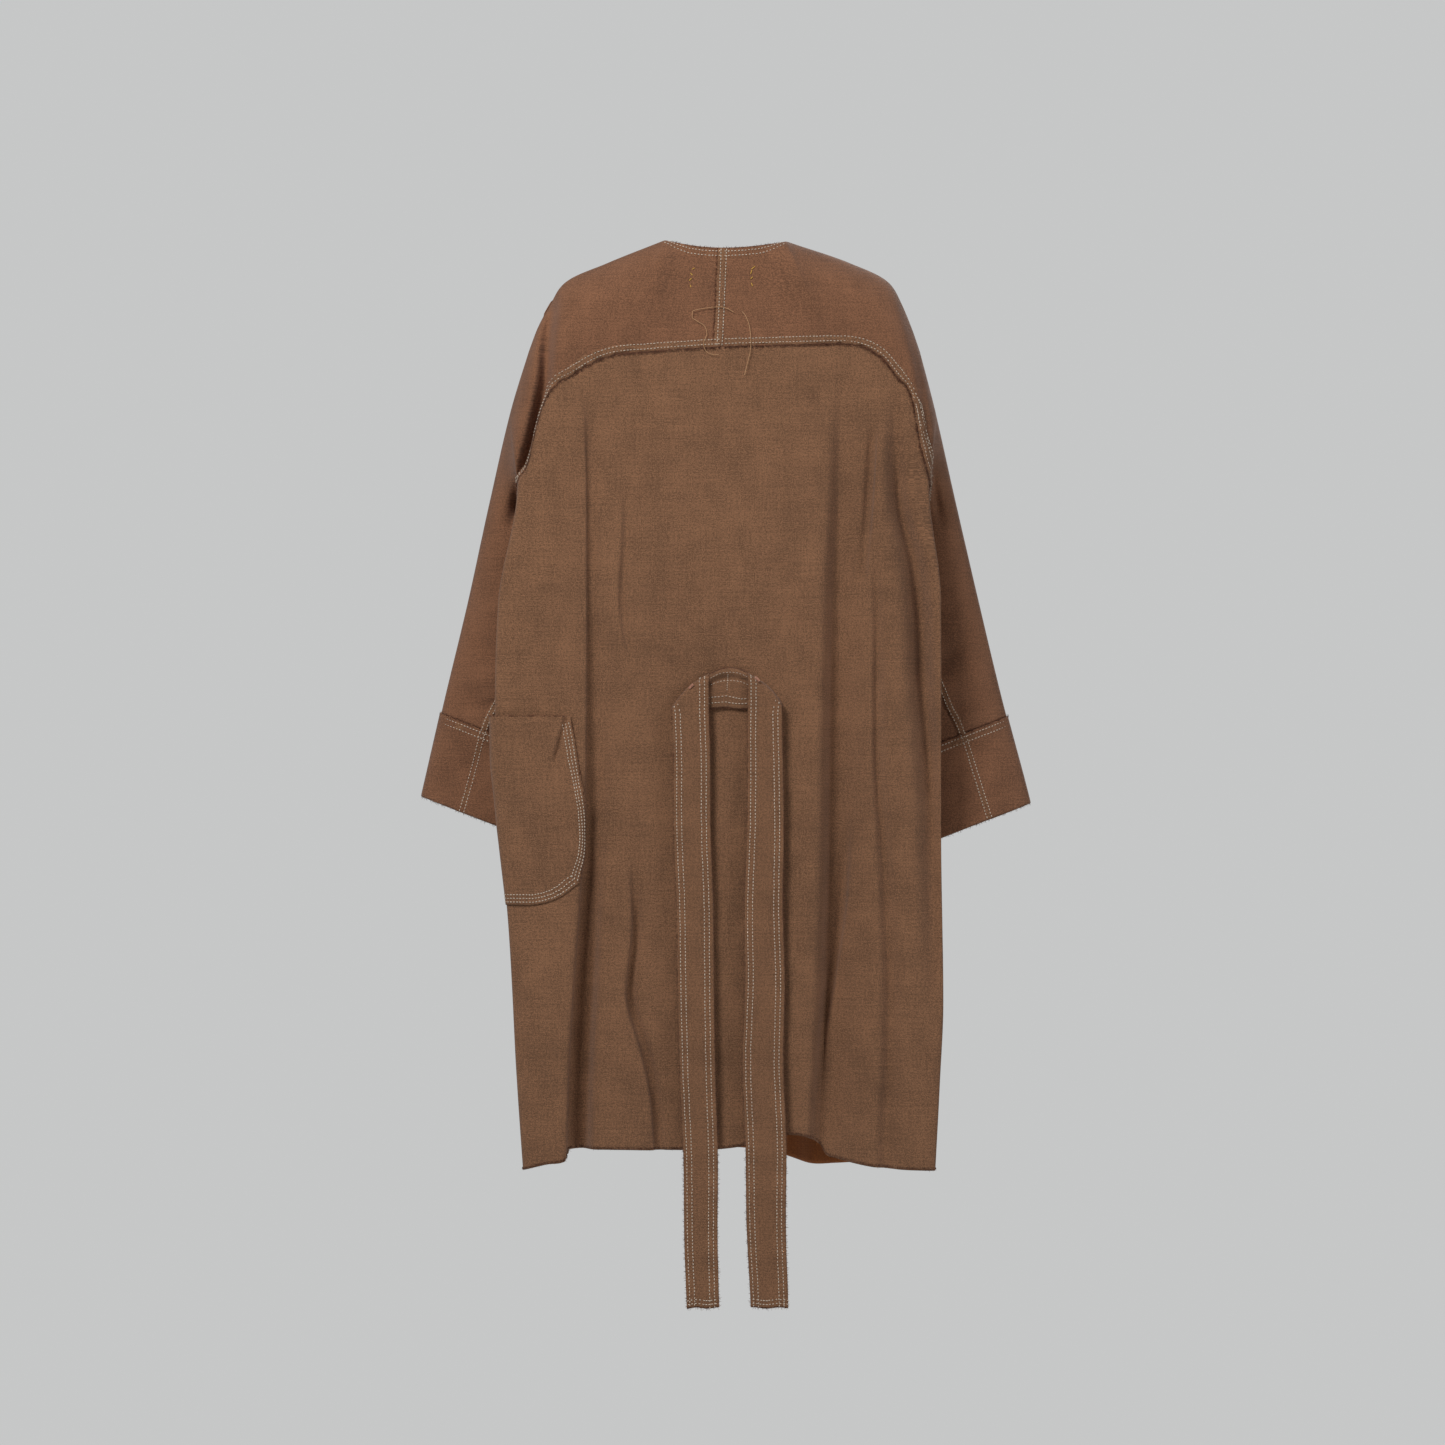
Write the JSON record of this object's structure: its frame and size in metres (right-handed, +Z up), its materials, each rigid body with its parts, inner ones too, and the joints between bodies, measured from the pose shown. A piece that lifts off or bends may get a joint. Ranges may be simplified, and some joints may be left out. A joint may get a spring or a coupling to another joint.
{
  "type": "artist smock",
  "caption": "Long open-front artist smock with a yoke cut in one with the sleeves, a side pocket, a back belt with two hanging ties and raw, double-stitched seams.",
  "frame": {"origin": "middle of the line where the shoulders bear on a hanger, midway between the neck points", "axes": "+X to the wearer's right, +Y out of the wearer's front, +Z up; the smock hangs down -Z with its back facing -Y"},
  "size_m": [0.7248, 0.1441, 1.2352],
  "materials": {
    "body_cloth": "slubby linen and wool weave, matt",
    "skirt_cloth": "slubby linen and wool weave, rust coloured inside",
    "yoke_cloth": "slubby linen and wool weave, slightly redder",
    "facing_cloth": "self cloth facing with a raw edge",
    "seam_cloth": "felled self cloth with two rows of pale stitching",
    "belt_cloth": "folded self cloth band with double stitching",
    "tack_thread": "ochre hand-sewn thread",
    "label_cloth": "plain woven tape, blank"
  },
  "bodies": {
    "garment": {"yoke_left": "yoke_cloth", "yoke_right": "yoke_cloth", "back_panel": "body_cloth", "chest_left": "body_cloth", "chest_right": "body_cloth", "neck_facing_left": "facing_cloth", "neck_facing_right": "facing_cloth", "chest_facing_left": "facing_cloth", "chest_facing_right": "facing_cloth", "centre_back_fell": "seam_cloth", "yoke_fell_left": "seam_cloth", "yoke_fell_right": "seam_cloth", "armhole_fell_left": "seam_cloth", "armhole_fell_right": "seam_cloth", "side_pocket": "body_cloth", "belt_centre": "belt_cloth", "belt_fold_left": "belt_cloth", "belt_fold_right": "belt_cloth", "belt_tacks": "tack_thread", "neck_label": "label_cloth", "label_tacks": "tack_thread"},
    "sleeve_left": {"sleeve_left": "yoke_cloth", "cuff_left": "yoke_cloth", "cuff_seam_left": "seam_cloth", "underarm_fell_left": "seam_cloth"},
    "sleeve_right": {"sleeve_right": "yoke_cloth", "cuff_right": "yoke_cloth", "cuff_seam_right": "seam_cloth", "underarm_fell_right": "seam_cloth"},
    "front_left": {"front_panel_left": "skirt_cloth", "front_facing_left": "facing_cloth"},
    "front_right": {"front_panel_right": "skirt_cloth", "front_facing_right": "facing_cloth"},
    "tie_left": {"tie_left": "belt_cloth"},
    "tie_right": {"tie_right": "belt_cloth"}
  },
  "joints": [
    {"name": "sleeve_left_swing", "type": "hinge", "parent": "garment", "child": "sleeve_left", "pos_m": [-0.2885, 0.016, -0.3462], "axis": [0, 1, 0], "range_deg": [0, 60]},
    {"name": "sleeve_right_swing", "type": "hinge", "parent": "garment", "child": "sleeve_right", "pos_m": [0.2885, 0.016, -0.3462], "axis": [0, -1, 0], "range_deg": [0, 60]},
    {"name": "front_left_open", "type": "hinge", "parent": "garment", "child": "front_left", "pos_m": [-0.18, -0.026, -0.338], "axis": [-0.011, -0.033, 0.9994], "range_deg": [0, 60]},
    {"name": "front_right_open", "type": "hinge", "parent": "garment", "child": "front_right", "pos_m": [0.18, -0.026, -0.338], "axis": [-0.011, 0.033, -0.9994], "range_deg": [0, 60]},
    {"name": "tie_left_swing", "type": "hinge", "parent": "garment", "child": "tie_left", "pos_m": [-0.037, -0.0784, -0.5452], "axis": [-1, 0, 0], "range_deg": [0, 90]},
    {"name": "tie_right_swing", "type": "hinge", "parent": "garment", "child": "tie_right", "pos_m": [0.0485, -0.0784, -0.5452], "axis": [-1, 0, 0], "range_deg": [0, 90]}
  ]
}
